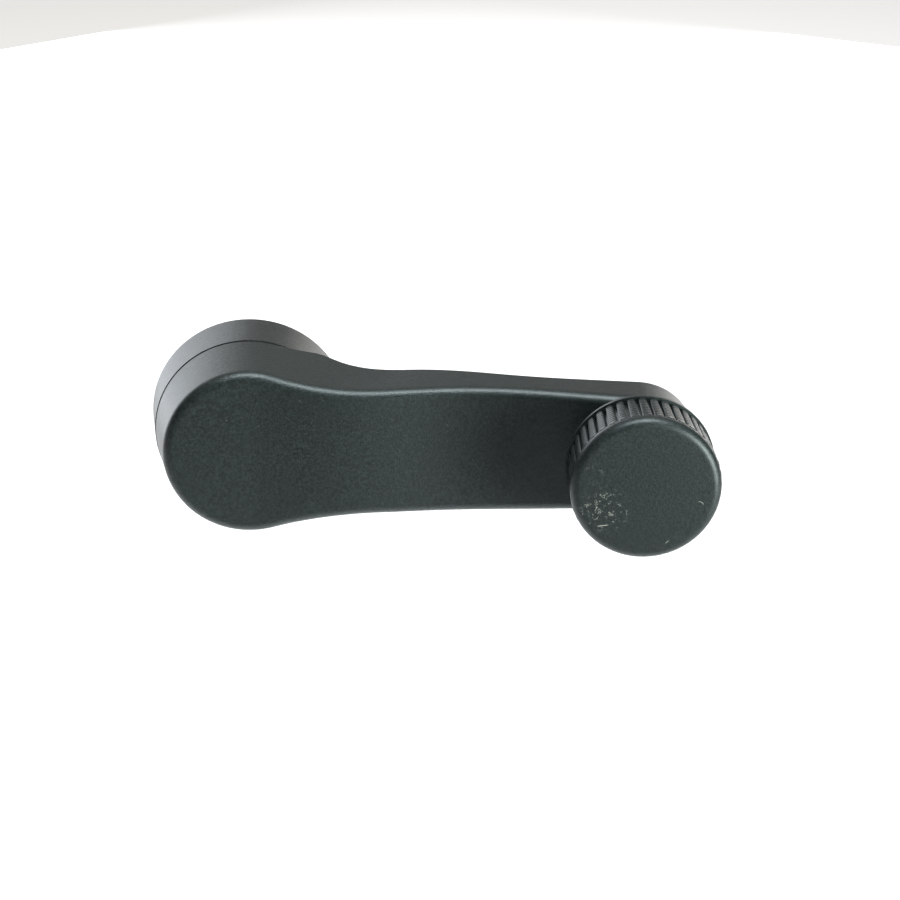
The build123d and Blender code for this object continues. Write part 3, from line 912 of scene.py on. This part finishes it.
class WINDER_OT_stage(bpy.types.Operator):
    """Lays the floor and sets the lights and the camera"""

    bl_idname = "winder.stage"
    bl_label = "Stage"

    def execute(self, context):
        stage = context.scene.winder_stage
        reach = 6.0
        corners = np.array([[-1, -1], [1, -1], [1, 1], [-1, 1]]) * reach
        points = np.concatenate([corners, np.full((4, 1), -stage.floor_drop)], 1)
        mesh = bpy.data.meshes.new("floor")
        mesh.from_pydata(points.tolist(), [], [(0, 1, 2, 3)])
        floor = bpy.data.objects.new("floor", mesh)
        context.scene.collection.objects.link(floor)
        paper = Finish("stage_paper", 0.9)
        tone = paper.noise(40.0, 3.0)
        pale = tuple(stage.floor_colour)
        paper.paint("Base Color", paper.mix(tone * 0.05, pale, deeper(pale, 0.98)))
        paper.paint("Emission Color", (*pale, 1.0))
        paper.paint("Emission Strength", 0.05)
        mesh.materials.append(paper.material)

        middle = (0.04, -0.03, 0.0)
        cool, plain = (0.84, 0.97, 1.0), (1.0, 0.98, 0.95)
        soft_box("back_light", (0.0, 1.1, 1.0), (0.0, 0.9, -0.3), (2.4, 1.6), 7.8, plain)
        soft_box("edge_light", (0.10, -0.40, 1.05), middle, (1.1, 0.5), 2.6, cool, 40)
        soft_box("face_light", (0.85, -0.75, -0.05), middle, (0.6, 0.8), 4.4, (0.84, 1.0, 0.97), 60)
        soft_box("left_card", (-0.70, 1.10, 0.1), middle, (1.4, 1.2), 20, (0.90, 0.95, 1.0))
        soft_box("right_card", (0.75, 1.25, 0.05), middle, (0.9, 0.7), 6.8, plain)
        soft_box("floor_wash", (0.0, 1.0, -0.06), (0.0, 1.0, -1.0), (3.2, 2.4), 13, plain)

        world = bpy.data.worlds.new("surroundings")
        context.scene.world = world
        world.use_nodes = True
        sky = world.node_tree.nodes["Background"]
        sky.inputs["Color"].default_value = (1.0, 1.0, 1.0, 1.0)
        sky.inputs["Strength"].default_value = stage.world

        turn, rise = stage.turn, stage.rise
        back = Vector((-math.sin(turn) * math.cos(rise), -math.cos(turn) * math.cos(rise), math.sin(rise)))
        right = Vector((math.cos(turn), -math.sin(turn), 0))
        up = back.cross(right)
        aim_right, aim_down = 0.04702, 0.00969
        eye = back * stage.distance + right * aim_right - up * aim_down
        lens = bpy.data.cameras.new("eye")
        lens.lens = 120
        lens.sensor_width = 36
        camera = bpy.data.objects.new("eye", lens)
        context.scene.collection.objects.link(camera)
        camera.matrix_world = Matrix.Translation(eye) @ Matrix((right, up, back)).transposed().to_4x4()
        context.scene.camera = camera
        context.scene.view_settings.view_transform = "Standard"
        return {"FINISHED"}


class WINDER_PT_panel(bpy.types.Panel):
    """The winder's steps, in order"""

    bl_idname = "WINDER_PT_panel"
    bl_label = "Window Winder"
    bl_space_type = "VIEW_3D"
    bl_region_type = "UI"
    bl_category = "Winder"

    def draw(self, context):
        for step in STEPS:
            self.layout.operator(step.bl_idname)
        for name in GROUPS:
            box = self.layout.box()
            group = getattr(context.scene, name)
            for key in group.__annotations__:
                box.prop(group, key)


GROUPS = {
    "winder_lever": LeverSizes,
    "winder_knob": KnobSizes,
    "winder_colours": FinishColours,
    "winder_stage": StageSettings,
}
STEPS = (
    WINDER_OT_lever,
    WINDER_OT_ring,
    WINDER_OT_knob,
    WINDER_OT_carrier,
    WINDER_OT_steel,
    WINDER_OT_bearings,
    WINDER_OT_stage,
)


def register():
    """Registers the groups, the operators and the panel."""
    for name, group in GROUPS.items():
        bpy.utils.register_class(group)
        setattr(bpy.types.Scene, name, PointerProperty(type=group))
    for kind in (*STEPS, WINDER_PT_panel):
        bpy.utils.register_class(kind)


def unregister():
    """Takes them away again."""
    for kind in reversed((*STEPS, WINDER_PT_panel)):
        bpy.utils.unregister_class(kind)
    for name, group in GROUPS.items():
        delattr(bpy.types.Scene, name)
        bpy.utils.unregister_class(group)


def main():
    """Builds the winder and its stage."""
    register()
    bpy.ops.winder.lever()
    bpy.ops.winder.ring()
    bpy.ops.winder.knob()
    bpy.ops.winder.carrier()
    bpy.ops.winder.steel()
    bpy.ops.winder.bearings()
    bpy.ops.winder.stage()


if __name__ == "__main__":
    main()
